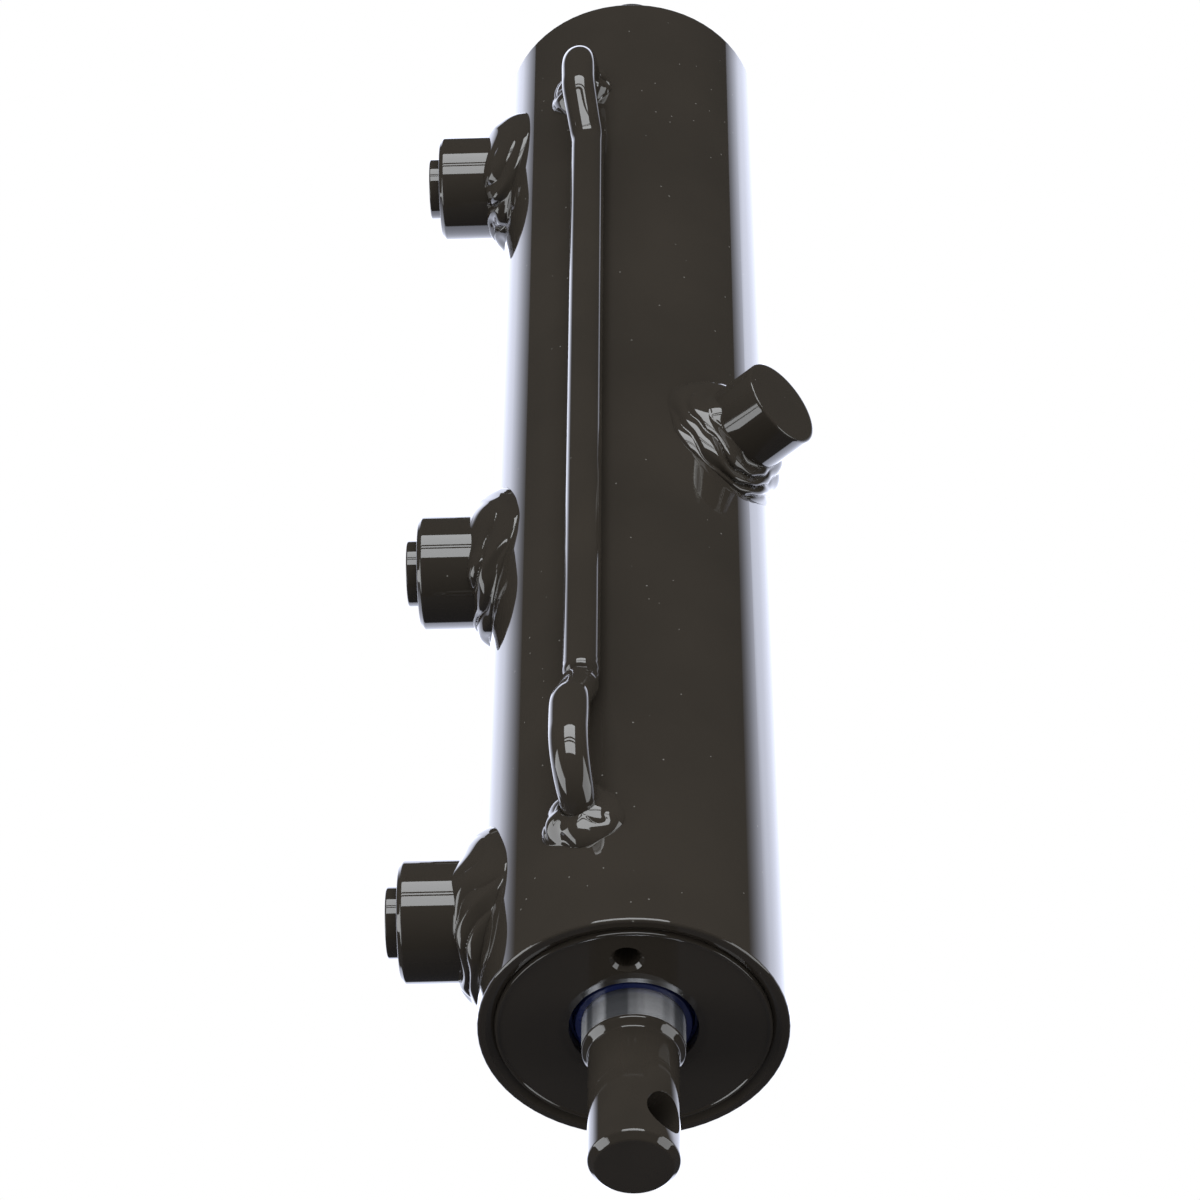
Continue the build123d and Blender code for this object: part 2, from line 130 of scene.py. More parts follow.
def effect(name, inputs, outputs):
    """An empty shader group with named float sockets, and its in and out nodes."""
    tree = bpy.data.node_groups.new(name, "ShaderNodeTree")
    for key, start in inputs.items():
        socket = tree.interface.new_socket(key, in_out="INPUT", socket_type="NodeSocketFloat")
        socket.default_value = start
    for key in outputs:
        tree.interface.new_socket(key, in_out="OUTPUT", socket_type="NodeSocketFloat")
    return tree, tree.nodes.new("NodeGroupInput"), tree.nodes.new("NodeGroupOutput")


def place(tree, group, **inputs):
    """Puts a group into a material with that material's own values."""
    made = tree.nodes.new("ShaderNodeGroup")
    made.node_tree = group
    for key, value in inputs.items():
        made.inputs[key].default_value = value
    return made


# Orange peel: two layers of noise, the coarse one deeper, as a height in metres.
orange_peel, came, gone = effect("orange_peel", {"Scale": 900.0, "Depth": 2e-6}, ["Height"])
where = object_point(orange_peel)
fine = noise(orange_peel, where, came.outputs["Scale"], 1.0)
coarse_scale = maths(orange_peel, "MULTIPLY", came.outputs["Scale"], 0.3)
coarse = noise(orange_peel, where, coarse_scale, 0.0)
layers = maths(orange_peel, "MULTIPLY_ADD", coarse, 2.5, fine)
orange_peel.links.new(maths(orange_peel, "MULTIPLY", layers, came.outputs["Depth"]),
                      gone.inputs["Height"])

# Dust: a speck at the heart of each cell whose random number is under the share.
caught_dust, came, gone = effect("caught_dust", {"Scale": 260.0, "Share": 0.3, "Size": 0.06},
                                 ["Mask"])
cells = node(caught_dust, "ShaderNodeTexVoronoi",
             {"Vector": object_point(caught_dust), "Scale": came.outputs["Scale"]})
chance = node(caught_dust, "ShaderNodeSeparateColor", {"Color": cells.outputs["Color"]}).outputs[0]
chosen = maths(caught_dust, "LESS_THAN", chance, came.outputs["Share"])
close_by = maths(caught_dust, "LESS_THAN", cells.outputs["Distance"], came.outputs["Size"])
caught_dust.links.new(maths(caught_dust, "MULTIPLY", chosen, close_by), gone.inputs["Mask"])

# Slow drift: broad soft noise for tone and sheen, 0 to 1.
slow_drift, came, gone = effect("slow_drift", {"Scale": 25.0}, ["Amount"])
broad = noise(slow_drift, object_point(slow_drift), came.outputs["Scale"], 3.0)
slow_drift.links.new(ramp(slow_drift, broad, 0.35, 0.65), gone.inputs["Amount"])


def finish(name):
    """A new material: its tree and its Principled shader."""
    made = bpy.data.materials.new(name)
    made.use_nodes = True
    tree = made.node_tree
    return made, tree, tree.nodes["Principled BSDF"]


def bumped(tree, shader, height):
    """Turns a height in metres into the shader's normal."""
    bump = node(tree, "ShaderNodeBump", {"Height": height, "Distance": 1.0, "Strength": 1.0})
    tree.links.new(bump.outputs[0], shader.inputs["Normal"])


def black_paint(name, peel_scale=800.0, peel_depth=2.2e-6, dust_share=0.5, scuffed=False):
    """Thin gloss black on steel, lighter where dust is caught in it."""
    made, tree, shader = finish(name)
    shader.inputs["Roughness"].default_value = 0.5
    shader.inputs["Specular IOR Level"].default_value = 0.0
    shader.inputs["Coat Weight"].default_value = 1.0
    shader.inputs["Coat Roughness"].default_value = 0.035
    shader.inputs["Coat IOR"].default_value = CLEAR_COAT_IOR
    tone = place(tree, slow_drift, Scale=22.0).outputs[0]
    colour = blend_colours(tree, tone, PAINT, PAINT_DRIFT)
    specks = place(tree, caught_dust, Share=dust_share).outputs[0]
    faint = maths(tree, "MULTIPLY", specks, DUST_SHOWS)
    colour = blend_colours(tree, faint, colour, DUST)
    height = place(tree, orange_peel, Scale=peel_scale, Depth=peel_depth).outputs[0]
    height = maths(tree, "MULTIPLY_ADD", specks, DUST_HEIGHT, height)
    if scuffed:
        mark = scuff(tree)
        colour = blend_colours(tree, maths(tree, "MULTIPLY", mark, SCUFF_SHOWS), colour, DUST)
        height = maths(tree, "MULTIPLY_ADD", mark, SCUFF_HEIGHT, height)
    tree.links.new(colour, shader.inputs["Base Color"])
    bumped(tree, shader, height)
    return made


def scuff(tree):
    """The ragged outline of a streak about 16 mm long and 2 mm wide, on the near side of the pin.
    It runs where the distance in streak sizes, plus noise, is from 1.15 to 1.55."""
    where = object_point(tree)
    turn = math.radians(scuff_angle)
    centre = (scuff_radius * math.cos(turn), scuff_station, scuff_radius * math.sin(turn))
    moved = node(tree, "ShaderNodeVectorMath", {0: where, 1: centre}, operation="SUBTRACT")
    shrunk = stretched(tree, moved.outputs[0], scuff_shape)
    far_off = node(tree, "ShaderNodeVectorMath", {0: shrunk}, operation="LENGTH")
    edge = maths(tree, "ADD", far_off.outputs["Value"], noise(tree, where, 1500.0, 2.0))
    soft = ramp(tree, edge, 1.25, 1.55, 1.0, 0.0)
    return maths(tree, "MULTIPLY", soft, maths(tree, "GREATER_THAN", edge, 1.15))


def coat_node(name, material):
    """Gives a carried-over CAD node its material."""
    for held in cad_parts[name].material_slots:
        held.material = material


barrel_paint = black_paint("barrel_paint", scuffed=True)
coat_node("barrel", barrel_paint)
barrel_low, barrel_high = (np.array(corner) * 1000 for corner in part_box("barrel"))
barrel_radius = barrel_high[0]
near_face, far_face = barrel_low[1], barrel_high[1]
middle = (near_face + far_face) / 2
out = {"near": -1, "far": 1}
face_at = {"near": near_face, "far": far_face}

# ---------------------------------------------------------------------------------------------
# Glands: turned steel heads screwed in just below the barrel's rim, painted with it. Each has
# two countersunk holes for a face spanner, a shallow lip round the wiper and a bead of paint
# along its seam with the barrel. Their noses stop 0.05 mm short, clear of the pistons.
# Shapes are worked out in millimetres from here on, and skin() puts them in as metres.
# ---------------------------------------------------------------------------------------------
ALONG = np.array([0.0, 1.0, 0.0])
RIGHT = np.array([1.0, 0.0, 0.0])
gland_corners = [
    (15.8, -1.1), (18.0, -0.5), (32.6, -0.5), (33.0, -0.1), (33.5, -0.1), (33.9, -0.9),
    (33.9, -20.0), (31.7, -20.0), (31.7, -23.0), (28.6, -23.0), (28.6, -28.2), (31.7, -28.2),
    (31.7, -31.0), (30.7, -32.0), (26.0, -32.0), (26.0, -46.0), (25.0, -46.95), (13.9, -46.95),
    (12.9, -46.0), (12.9, -33.0), (14.9, -33.0), (14.9, -21.0), (12.9, -21.0), (12.9, -17.0),
    (16.2, -17.0), (16.2, -11.0), (12.9, -11.0), (12.9, -7.5), (15.8, -7.5),
]
spanner_circle, spanner_hole, spanner_depth, spanner_chamfer = 24.3, 3.25, 8.0, 0.9
spanner_angle, gland_face, drill_clearance = 92.0, -0.5, 0.3


def eased(corners, ease, closed):
    """Rounds an outline's corners. Each corner P becomes the curve (1-t)^2 A + 2t(1-t) P + t^2 B
    from A to B, which lie the ease away along its two edges, with one more point beyond each."""
    steps, beyond, most_of_edge = 5, 1.6, 0.3
    corners = np.array(corners, dtype=float)
    back = np.roll(corners, 1, axis=0) - corners
    ahead = np.roll(corners, -1, axis=0) - corners
    back_length = np.linalg.norm(back, axis=1, keepdims=True)
    ahead_length = np.linalg.norm(ahead, axis=1, keepdims=True)
    reach = np.minimum(ease, most_of_edge * np.minimum(back_length, ahead_length))
    if not closed:
        reach[[0, -1]] = 0
    start = corners + back / back_length * reach
    end = corners + ahead / ahead_length * reach
    t = np.linspace(0, 1, steps)[None, :, None]
    arc = (1 - t) ** 2 * start[:, None] + 2 * t * (1 - t) * corners[:, None] + t ** 2 * end[:, None]
    before = corners + back / back_length * reach * beyond
    after = corners + ahead / ahead_length * reach * beyond
    rounded = np.concatenate([before[:, None], arc, after[:, None]], axis=1)
    if closed:
        return rounded.reshape(-1, 2)
    return np.concatenate([corners[:1], rounded[1:-1].reshape(-1, 2), corners[-1:]])


def turned(radius, height, origin, axis, first, steps):
    """Spins an outline round an axis: origin + height axis + radius (cos a first + sin a second).
    Radius and height are one value a row, or a row of values that change with the angle a."""
    radius = np.broadcast_to(np.reshape(radius, (len(radius), -1)), (len(radius), steps))
    height = np.broadcast_to(np.reshape(height, (len(height), -1)), (len(height), steps))
    second = np.cross(axis, first)
    angle = np.linspace(0, 2 * np.pi, steps, endpoint=False)
    spoke = np.cos(angle)[:, None] * first + np.sin(angle)[:, None] * second
    return np.array(origin) + height[..., None] * axis + radius[..., None] * spoke


def skin(name, grid, closed, sharp=30.0):
    """A mesh object over a grid of points, each row a ring. Closed joins the last ring to the
    first. The points of a ring that shrinks to a pole are merged, and the faces turned outwards."""
    rows, columns = grid.shape[:2]
    index = np.arange(rows * columns).reshape(rows, columns)
    index = np.concatenate([index, index[:, :1]], axis=1)
    if closed:
        index = np.concatenate([index, index[:1]], axis=0)
    corners = [index[:-1, :-1], index[:-1, 1:], index[1:, 1:], index[1:, :-1]]
    faces = np.stack(corners, axis=-1).reshape(-1, 4)
    mesh = bpy.data.meshes.new(name)
    mesh.from_pydata((grid.reshape(-1, 3) / 1000).tolist(), [], faces.tolist())
    work = bmesh.new()
    work.from_mesh(mesh)
    bmesh.ops.remove_doubles(work, verts=work.verts, dist=1e-7)
    bmesh.ops.recalc_face_normals(work, faces=work.faces)
    work.to_mesh(mesh)
    work.free()
    mesh.polygons.foreach_set("use_smooth", np.ones(len(mesh.polygons), dtype=bool))
    mesh.set_sharp_from_angle(angle=math.radians(sharp))
    made = bpy.data.objects.new(name, mesh)
    bpy.context.scene.collection.objects.link(made)
    return made


def bored(piece, cutters, edge=0.0):
    """Cuts the cutters out of a piece, softens the new edges by the edge width, and makes the
    result its mesh. The cutters are thrown away."""
    for cutter in cutters:
        cut = piece.modifiers.new("bore", "BOOLEAN")
        cut.object = cutter
        cut.solver = "EXACT"
    if edge:
        soft = piece.modifiers.new("soft_edge", "BEVEL")
        soft.width = edge / 1000
        soft.segments = 3
        soft.limit_method = "ANGLE"
        soft.angle_limit = math.radians(30)
    bpy.context.view_layer.update()
    whole = piece.evaluated_get(bpy.context.evaluated_depsgraph_get())
    mesh = bpy.data.meshes.new_from_object(whole)
    piece.modifiers.clear()
    piece.data = mesh
    mesh.polygons.foreach_set("use_smooth", np.ones(len(mesh.polygons), dtype=bool))
    mesh.set_sharp_from_angle(angle=math.radians(30))
    for cutter in cutters:
        bpy.data.objects.remove(cutter)


def fit(piece, material, body, slot, *nodes):
    """Dresses a piece, sets it on its body and lets it stand for its CAD nodes."""
    piece.data.materials.clear()
    piece.data.materials.append(material)
    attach(piece, body)
    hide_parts(*nodes)


gland_paint = black_paint("gland_paint", peel_scale=700.0, peel_depth=1.6e-6, dust_share=0.15)
for end in ("near", "far"):
    outline = eased(gland_corners, ease=0.22, closed=True)
    face = (0, face_at[end], 0)
    rings = turned(outline[:, 0], outline[:, 1], face, out[end] * ALONG, RIGHT, 240)
    gland = skin(f"{end}_gland_head", rings, closed=True)
    bottom, opening = gland_face - spanner_depth, gland_face + drill_clearance
    drill = np.array([(0, bottom), (spanner_hole, bottom),
                      (spanner_hole, gland_face - spanner_chamfer),
                      (spanner_hole + spanner_chamfer + drill_clearance, opening), (0, opening)])
    cutters = []
    for angle in (spanner_angle, spanner_angle + 180):
        turn = math.radians(angle)
        centre = (spanner_circle * math.cos(turn), face_at[end], spanner_circle * math.sin(turn))
        rings = turned(drill[:, 0], drill[:, 1], centre, out[end] * ALONG, RIGHT, 64)
        cutters.append(skin("spanner_drill", rings, closed=False))
    bored(gland, cutters)
    fit(gland, gland_paint, "barrel", "black_paint", f"{end}_gland")

# ---------------------------------------------------------------------------------------------
# Wipers: dark blue polyurethane rings pressed into the gland, with a lip that scrapes the rod.
# The lip stops 0.05 mm from the rod, so that the rod slides through without cutting it.
# ---------------------------------------------------------------------------------------------
wiper_corners = [(12.75, -2.2), (14.2, -2.2), (14.9, -4.2), (15.8, -4.2), (15.8, -7.5),
                 (13.3, -7.5), (13.3, -4.2), (12.75, -3.0)]


def moulded(name, colour, roughness, grain_scale, grain_depth):
    """Plastic or rubber from a mould, with a fine grain and a sheen that drifts."""
    made, tree, shader = finish(name)
    drift = place(tree, slow_drift, Scale=120.0).outputs[0]
    deeper = tuple(0.75 * part for part in colour)
    tree.links.new(blend_colours(tree, drift, colour, deeper), shader.inputs["Base Color"])
    sheen = maths(tree, "MULTIPLY_ADD", drift, 0.12, roughness)
    tree.links.new(sheen, shader.inputs["Roughness"])
    grain = place(tree, orange_peel, Scale=grain_scale, Depth=grain_depth)
    bumped(tree, shader, grain.outputs[0])
    return made


wiper_blue = moulded("wiper_blue", (0.006, 0.011, 0.060), 0.22, 1800.0, 1.5e-6)
for end in ("near", "far"):
    outline = eased(wiper_corners, ease=0.15, closed=True)
    rings = turned(outline[:, 0], outline[:, 1], (0, face_at[end], 0), out[end] * ALONG, RIGHT, 192)
    fit(skin(f"{end}_wiper_ring", rings, closed=True), wiper_blue, "barrel", "wiper_blue",
        f"{end}_wiper")

# ---------------------------------------------------------------------------------------------
# Rods: turned steel, hard chromed where they run in the gland. The stub outside is painted with
# the barrel and cross-drilled for a pin. Inside, a spigot takes the piston and its nut.
# ---------------------------------------------------------------------------------------------
rod_corners = [(0, 43.6), (9.4, 43.6), (11.1, 41.9), (11.1, 8.6), (12.7, 7.0), (12.7, -132.0),
               (10.0, -132.0), (10.0, -178.0), (8.5, -179.5), (0, -179.5)]
pin_hole_out, pin_hole_radius, pin_hole_angle = 33.0, 5.55, 42.0
pin_drill_half, pin_hole_edge, chrome_past_face, paint_line = 15, 0.35, 6.4, 0.0001
chrome_length = (far_face - near_face) / 2 + chrome_past_face
# The dark and light colours of the painted reflection bands along the chrome.
PAINTED_REFLECTION_DARK, PAINTED_REFLECTION_BRIGHT = (0.20, 0.21, 0.23), (0.80, 0.82, 0.87)


def chrome_and_paint(name):
    """Chrome to a little past each gland and black paint beyond, parted by a slightly ragged
    line, with faint turning marks in both. The chrome's colour runs in light and dark bands along
    the rod, which are painted reflections."""
    made, tree, shader = finish(name)
    where = object_point(tree)
    place_on = node(tree, "ShaderNodeSeparateXYZ", {0: where})
    from_middle = maths(tree, "ABSOLUTE", maths(tree, "SUBTRACT", place_on.outputs["Y"],
                                                middle / 1000))
    ragged = noise(tree, where, 500.0, 2.0)
    wavering = maths(tree, "MULTIPLY_ADD", ragged, 0.0003, from_middle)
    edge = chrome_length / 1000
    painted = ramp(tree, wavering, edge, edge + paint_line)
    tone = place(tree, slow_drift, Scale=60.0).outputs[0]
    paint = blend_colours(tree, tone, PAINT, PAINT_DRIFT)
    # Painted reflection: light and dark bands along the rod, put into the chrome's colour.
    lengthways = noise(tree, stretched(tree, where, (230.0, 0.0, 230.0)), 1.0, 1.0)
    painted_reflection_bands = ramp(tree, lengthways, 0.42, 0.58)
    chrome = blend_colours(tree, painted_reflection_bands, PAINTED_REFLECTION_DARK, PAINTED_REFLECTION_BRIGHT)
    tree.links.new(blend_colours(tree, painted, chrome, paint), shader.inputs["Base Color"])
    tree.links.new(maths(tree, "MULTIPLY_ADD", painted, -0.84, 0.84), shader.inputs["Metallic"])
    tree.links.new(maths(tree, "MULTIPLY_ADD", painted, 0.24, 0.26), shader.inputs["Roughness"])
    tree.links.new(painted, shader.inputs["Coat Weight"])
    shader.inputs["Specular IOR Level"].default_value = 0.0
    shader.inputs["Coat Roughness"].default_value = 0.05
    shader.inputs["Coat IOR"].default_value = CLEAR_COAT_IOR
    lathe = noise(tree, stretched(tree, where, (60.0, 3000.0, 60.0)), 1.0, 2.0)
    peel = place(tree, orange_peel, Scale=900.0, Depth=1.2e-6).outputs[0]
    bumped(tree, shader, maths(tree, "MULTIPLY_ADD", lathe, 4e-7, peel))
    return made


rod_finish = chrome_and_paint("chrome_and_paint")
for end in ("near", "far"):
    outline = eased(rod_corners, ease=0.4, closed=False)
    rings = turned(outline[:, 0], outline[:, 1], (0, face_at[end], 0), out[end] * ALONG, RIGHT, 192)
    rod = skin(f"{end}_rod_bar", rings, closed=False)
    turn = math.radians(pin_hole_angle)
    across = np.array([math.cos(turn), 0, math.sin(turn)])
    hole = (0, face_at[end] + out[end] * pin_hole_out, 0)
    drill = np.array([(0, -pin_drill_half), (pin_hole_radius, -pin_drill_half),
                      (pin_hole_radius, pin_drill_half), (0, pin_drill_half)])
    rings = turned(drill[:, 0], drill[:, 1], hole, across, ALONG, 96)
    bored(rod, [skin("pin_drill", rings, closed=False)], edge=pin_hole_edge)
    fit(rod, rod_finish, f"{end}_rod_body", "chrome_rod", f"{end}_rod")

# ---------------------------------------------------------------------------------------------
# Port bosses: round steel blocks coped to the barrel and welded on, threaded for the plugs.
# The thread is a plain bore here, because the plug's shank fills it.
# ---------------------------------------------------------------------------------------------
boss_radius, boss_chamfer, port_thread, port_thread_depth = 15.6, 1.2, 6.6, 14.0
port_drill, port_lead_in, foot_gap = 4.25, 0.6, 0.05
boss_bore_foot, boss_side_foot = 36.0, 40.0  # replaced by the cope below
boss_paint = black_paint("boss_paint", peel_scale=420.0, peel_depth=6.0e-6, dust_share=0.12)
ports = {}
for name in ("near", "centre", "far"):
    low, high = (np.array(corner) * 1000 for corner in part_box(f"{name}_port_boss"))
    ports[name] = (low[1] + high[1]) / 2
    boss_face = -low[0]  # the same on all three


def cope(radius, angle, depth=0.0):
    """How far from the axis a round piece meets the barrel: sqrt(R^2 - (r sin a)^2), less a depth.
    The angle goes round the piece from the barrel's own direction."""
    return np.sqrt(barrel_radius ** 2 - (radius * np.sin(angle)) ** 2) - depth


steps = 240
angle = np.linspace(0, 2 * np.pi, steps, endpoint=False)
for name, station in ports.items():
    outline = eased([(port_drill, boss_bore_foot), (port_drill, boss_face - port_thread_depth),
                     (port_thread, boss_face - port_thread_depth),
                     (port_thread, boss_face - port_lead_in),
                     (port_thread + port_lead_in, boss_face),
                     (boss_radius - boss_chamfer, boss_face),
                     (boss_radius, boss_face - boss_chamfer),
                     (boss_radius, boss_side_foot)], ease=0.3, closed=False)
    radius = np.broadcast_to(outline[:, :1], (len(outline), steps)).copy()
    height = np.broadcast_to(outline[:, 1:], (len(outline), steps)).copy()
    height[0] = cope(port_drill, angle, foot_gap)
    height[-1] = cope(boss_radius, angle, foot_gap)
    rings = turned(radius, height, (0, station, 0), -RIGHT, ALONG, steps)
    fit(skin(f"{name}_boss", rings, closed=True), boss_paint, "barrel", "black_paint",
        f"{name}_port_boss")

# ---------------------------------------------------------------------------------------------
# Port plugs: collar-headed steel plugs with a hexagon socket, painted over where they show.
# A groove under each collar holds the seal ring, which stays a CAD piece.
# ---------------------------------------------------------------------------------------------
plug_radius, plug_height, plug_shank, plug_length = 9.1, 3.3, 6.6, 11.0
socket_flats, socket_depth, socket_lead_in, socket_mouth = 6.0, 6.5, 0.5, 0.66
seal_outer, seal_inner, seal_height = 8.3, 7.0, 1.2


def hexagon(angle, flats):
    """A hexagon's radius at an angle: half its flats over the cosine of the angle from a flat."""
    from_flat = (angle + np.pi / 6) % (np.pi / 3) - np.pi / 6
    return flats / 2 / np.cos(from_flat)


steps = 192
angle = np.linspace(0, 2 * np.pi, steps, endpoint=False)
for name, station in ports.items():
    top = boss_face + plug_height
    head = eased([(socket_flats * socket_mouth, top), (plug_radius, top), (plug_radius, boss_face),
                  (seal_outer, boss_face), (seal_outer, boss_face + seal_height),
                  (seal_inner, boss_face + seal_height), (seal_inner, boss_face),
                  (plug_shank, boss_face), (plug_shank, boss_face - plug_length),
                  (0, boss_face - plug_length)], ease=0.5, closed=False)
    socket = hexagon(angle, socket_flats)
    radius = np.concatenate([np.stack([0 * socket, socket, socket]),
                             np.broadcast_to(head[:, :1], (len(head), steps))])
    floor, rim = top - socket_depth, top - socket_lead_in
    height = np.concatenate([[floor, floor, rim], head[:, 1]])
    rings = turned(radius, height, (0, station, 0), -RIGHT, ALONG, steps)
    fit(skin(f"{name}_plug", rings, closed=False), boss_paint, "barrel", "black_paint",
        f"{name}_port_plug")

# ---------------------------------------------------------------------------------------------
# Anchor pin: a solid steel bar welded on at mid-length, its spigot let through the wall.
# Its face is 0.2 mm lower than the CAD pin's, which keeps its rounded rim inside the CAD box.
# ---------------------------------------------------------------------------------------------
anchor_angle, anchor_radius, anchor_face, anchor_ease = 41.7, 12.7, 56.0, 0.6
anchor_spigot, anchor_foot, anchor_shoulder, anchor_taper = 6.0, 21.0, 40.0, 4.0
anchor_turn = math.radians(anchor_angle)
anchor_axis = np.array([math.cos(anchor_turn), 0, math.sin(anchor_turn)])
low, high = (np.array(corner) * 1000 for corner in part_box("anchor_pin"))
anchor_station = (low[1] + high[1]) / 2
outline = eased([(0, anchor_face), (anchor_radius, anchor_face), (anchor_radius, anchor_shoulder),
                 (anchor_spigot, anchor_shoulder - anchor_taper), (anchor_spigot, anchor_foot),
                 (0, anchor_foot)], anchor_ease, closed=False)
rings = turned(outline[:, 0], outline[:, 1], (0, anchor_station, 0), anchor_axis, ALONG, 240)
pin_paint = black_paint("pin_paint", peel_scale=420.0, peel_depth=5.5e-6, dust_share=0.1)
fit(skin("anchor_bar", rings, closed=False), pin_paint, "barrel", "black_paint", "anchor_pin")

# ---------------------------------------------------------------------------------------------
# Welds: hand-laid fillets round the bosses, the pin and the tube's feet. Each is one to three
# passes lapped on each other in lobes that spiral round it, under thick paint.
# ---------------------------------------------------------------------------------------------
weld_paint = black_paint("weld_paint", peel_scale=260.0, peel_depth=1.0e-5, dust_share=0.08)
weld_steps, weld_rows = 480, 44
top_wobble, leg_wobble, fat_wobble = 0.7, 0.16, 0.22
lobe_height, blob_height = 1.2, 0.15
toe_inset, toe_sink, root_inset, root_sink, wall_sink = 0.6, 0.8, 0.5, 1.0, 0.3  # out of sight


def wander(angle, seed, low, high):
    """A periodic wobble of about -1 to 1: sines of low to high waves a turn, phases from the seed,
    each weaker as its count grows."""
    phases = np.random.default_rng(seed).uniform(0, 2 * np.pi, high - low + 1)
    waves = np.arange(low, high + 1)
    weight = 1 / np.sqrt(waves)
    every = np.sin(angle[..., None] * waves + phases) * weight
    return every.sum(axis=-1) / weight.sum() * 2


def fillet_weld(name, station, turn, piece_radius, top, leg, fat, passes, folds, rough, lump, seed):
    """A weld from a round piece's side, top from the barrel's axis, to the barrel, a leg away.
    Its section is the curve (1-t)^2 A + 2t(1-t) K + t^2 B, with K pushed out from the corner by
    the fat, plus lobes |cos| that spiral across t for the passes. Rough is the lobes' least
    strength and the angle in degrees at which they are strongest."""
    angle = np.linspace(0, 2 * np.pi, weld_steps, endpoint=False)[None, :]
    t = np.linspace(0, 1, weld_rows)[:, None]
    outward = np.array([math.cos(turn), 0, math.sin(turn)])
    wall = top + top_wobble * lump * wander(angle, seed, 2, 7)
    leg_here = leg * (1 + leg_wobble * wander(angle, seed + 1, 1, 6))
    corner = cope(piece_radius, angle)
    toe_radius = piece_radius + leg_here
    toe = cope(toe_radius, angle, 0.02)
    middle_radius = (piece_radius + toe_radius) / 2
    middle_height = (wall + toe) / 2
    out_radius = middle_radius - piece_radius
    out_height = middle_height - corner
    out_length = np.hypot(out_radius, out_height)
    out_radius, out_height = out_radius / out_length, out_height / out_length
    push = out_length * (fat + fat_wobble * wander(angle, seed + 2, 2, 8))
    knee_radius = middle_radius + push * out_radius
    knee_height = middle_height + push * out_height
    radius = (1 - t) ** 2 * piece_radius + 2 * t * (1 - t) * knee_radius + t ** 2 * toe_radius
    height = (1 - t) ** 2 * wall + 2 * t * (1 - t) * knee_height + t ** 2 * toe
    window = np.sin(np.pi * t) ** 0.6
    lap = (passes * t + folds * angle / (2 * np.pi) + 0.7 * wander(angle + 0.6 * t, seed + 3, 1, 5)
           + 0.12 * wander(angle - 0.8 * t, seed + 4, 6, 12))
    lobes = np.abs(np.cos(np.pi * lap)) ** 0.8 - 0.6
    least, roughest = rough
    facing = np.maximum(np.cos(angle - math.radians(roughest)), 0) ** 2
    strength = least + (1 - least) * facing + 0.25 * wander(angle, seed + 6, 1, 4)
    blobs = wander(angle + 0.9 * t, seed + 5, 5, 11) * wander(2.0 * t, seed + 7, 1, 4)
    lift = window * lump * strength * (lobe_height * lobes + blob_height * blobs)
    radius = radius + lift * out_radius
    height = height + lift * out_height
    inner_radius = 0 * angle + piece_radius - root_inset
    radius = np.concatenate([radius, toe_radius - toe_inset, inner_radius, inner_radius])
    height = np.concatenate([height, toe - toe_sink, corner - root_sink, wall - wall_sink])
    rings = turned(radius, height, (0, station, 0), outward, ALONG, weld_steps)
    return skin(name, rings, closed=True, sharp=60.0)


for count, (name, station) in enumerate(ports.items()):
    weld = fillet_weld(f"{name}_boss_weld", station, math.pi, boss_radius, top=43.6, leg=7.2,
                       fat=0.62, passes=1.5, folds=-6, rough=(0.10, 205), lump=1.1,
                       seed=31 - 10 * count)
    fit(weld, weld_paint, "barrel", "black_paint", f"{name}_port_weld")

weld = fillet_weld("anchor_bar_weld", anchor_station, anchor_turn, anchor_radius, top=43.4,
                   leg=8.0, fat=0.45, passes=2.6, folds=1, rough=(0.25, 170), lump=1.3, seed=56)
fit(weld, weld_paint, "barrel", "black_paint", "anchor_weld")

# ---------------------------------------------------------------------------------------------
# Crossover tube: thin steel pipe bent over the barrel, flattened at its humps, and kinked where
# the near hump drops to the straight run. Both feet are welded into the wall.
# ---------------------------------------------------------------------------------------------
tube_radius, tube_bore, run_angle = 4.76, 3.2, 105.3
foot_height, run_height, hump_height, hump_lift = 32.2, 44.2, 53.2, 0.9
tube_ends = {  # station of foot, crest and dip from the near face, and the foot's angle
    "near": (38.1, 63.2, 79.7, 107.8),
    "far": (352.0, 331.0, 316.0, 111.6),
}
tube_bends = [13.4, 8.5, 7.7, 14.0, 9.0, 11.5]
line_spacing = 0.65
kink, far_dip, near_crest, far_crest = 80.4, 317.0, 58.0, 338.0


def spot(station, distance, angle):
    """A point from its station past the near face, its distance from the axis and its angle."""
    turn = math.radians(angle)
    return np.array([distance * math.cos(turn), near_face + station, distance * math.sin(turn)])


def bent(corners, bends):
    """A bent pipe's centre line: straight runs joined by arcs tangent to both, evenly spaced."""
    line = [corners[0]]
    for before, corner, after, radius in zip(corners, corners[1:], corners[2:], bends):
        back = (before - corner) / np.linalg.norm(before - corner)
        ahead = (after - corner) / np.linalg.norm(after - corner)
        half = math.acos(np.dot(back, ahead)) / 2
        centre = corner + (back + ahead) / np.linalg.norm(back + ahead) * radius / math.sin(half)
        start = corner + back * radius / math.tan(half) - centre
        finish_at = corner + ahead * radius / math.tan(half) - centre
        sweep = math.pi - 2 * half
        t = np.linspace(0, 1, max(4, int(radius * sweep / line_spacing)))[:, None]
        arc = (np.sin((1 - t) * sweep) * start + np.sin(t * sweep) * finish_at) / math.sin(sweep)
        line.extend(centre + arc)
    line.append(corners[-1])
    line = np.array(line)
    length = np.concatenate([[0], np.cumsum(np.linalg.norm(np.diff(line, axis=0), axis=1))])
    even = np.linspace(0, length[-1], int(length[-1] / line_spacing))
    return np.stack([np.interp(even, length, line[:, k]) for k in range(3)], axis=1)


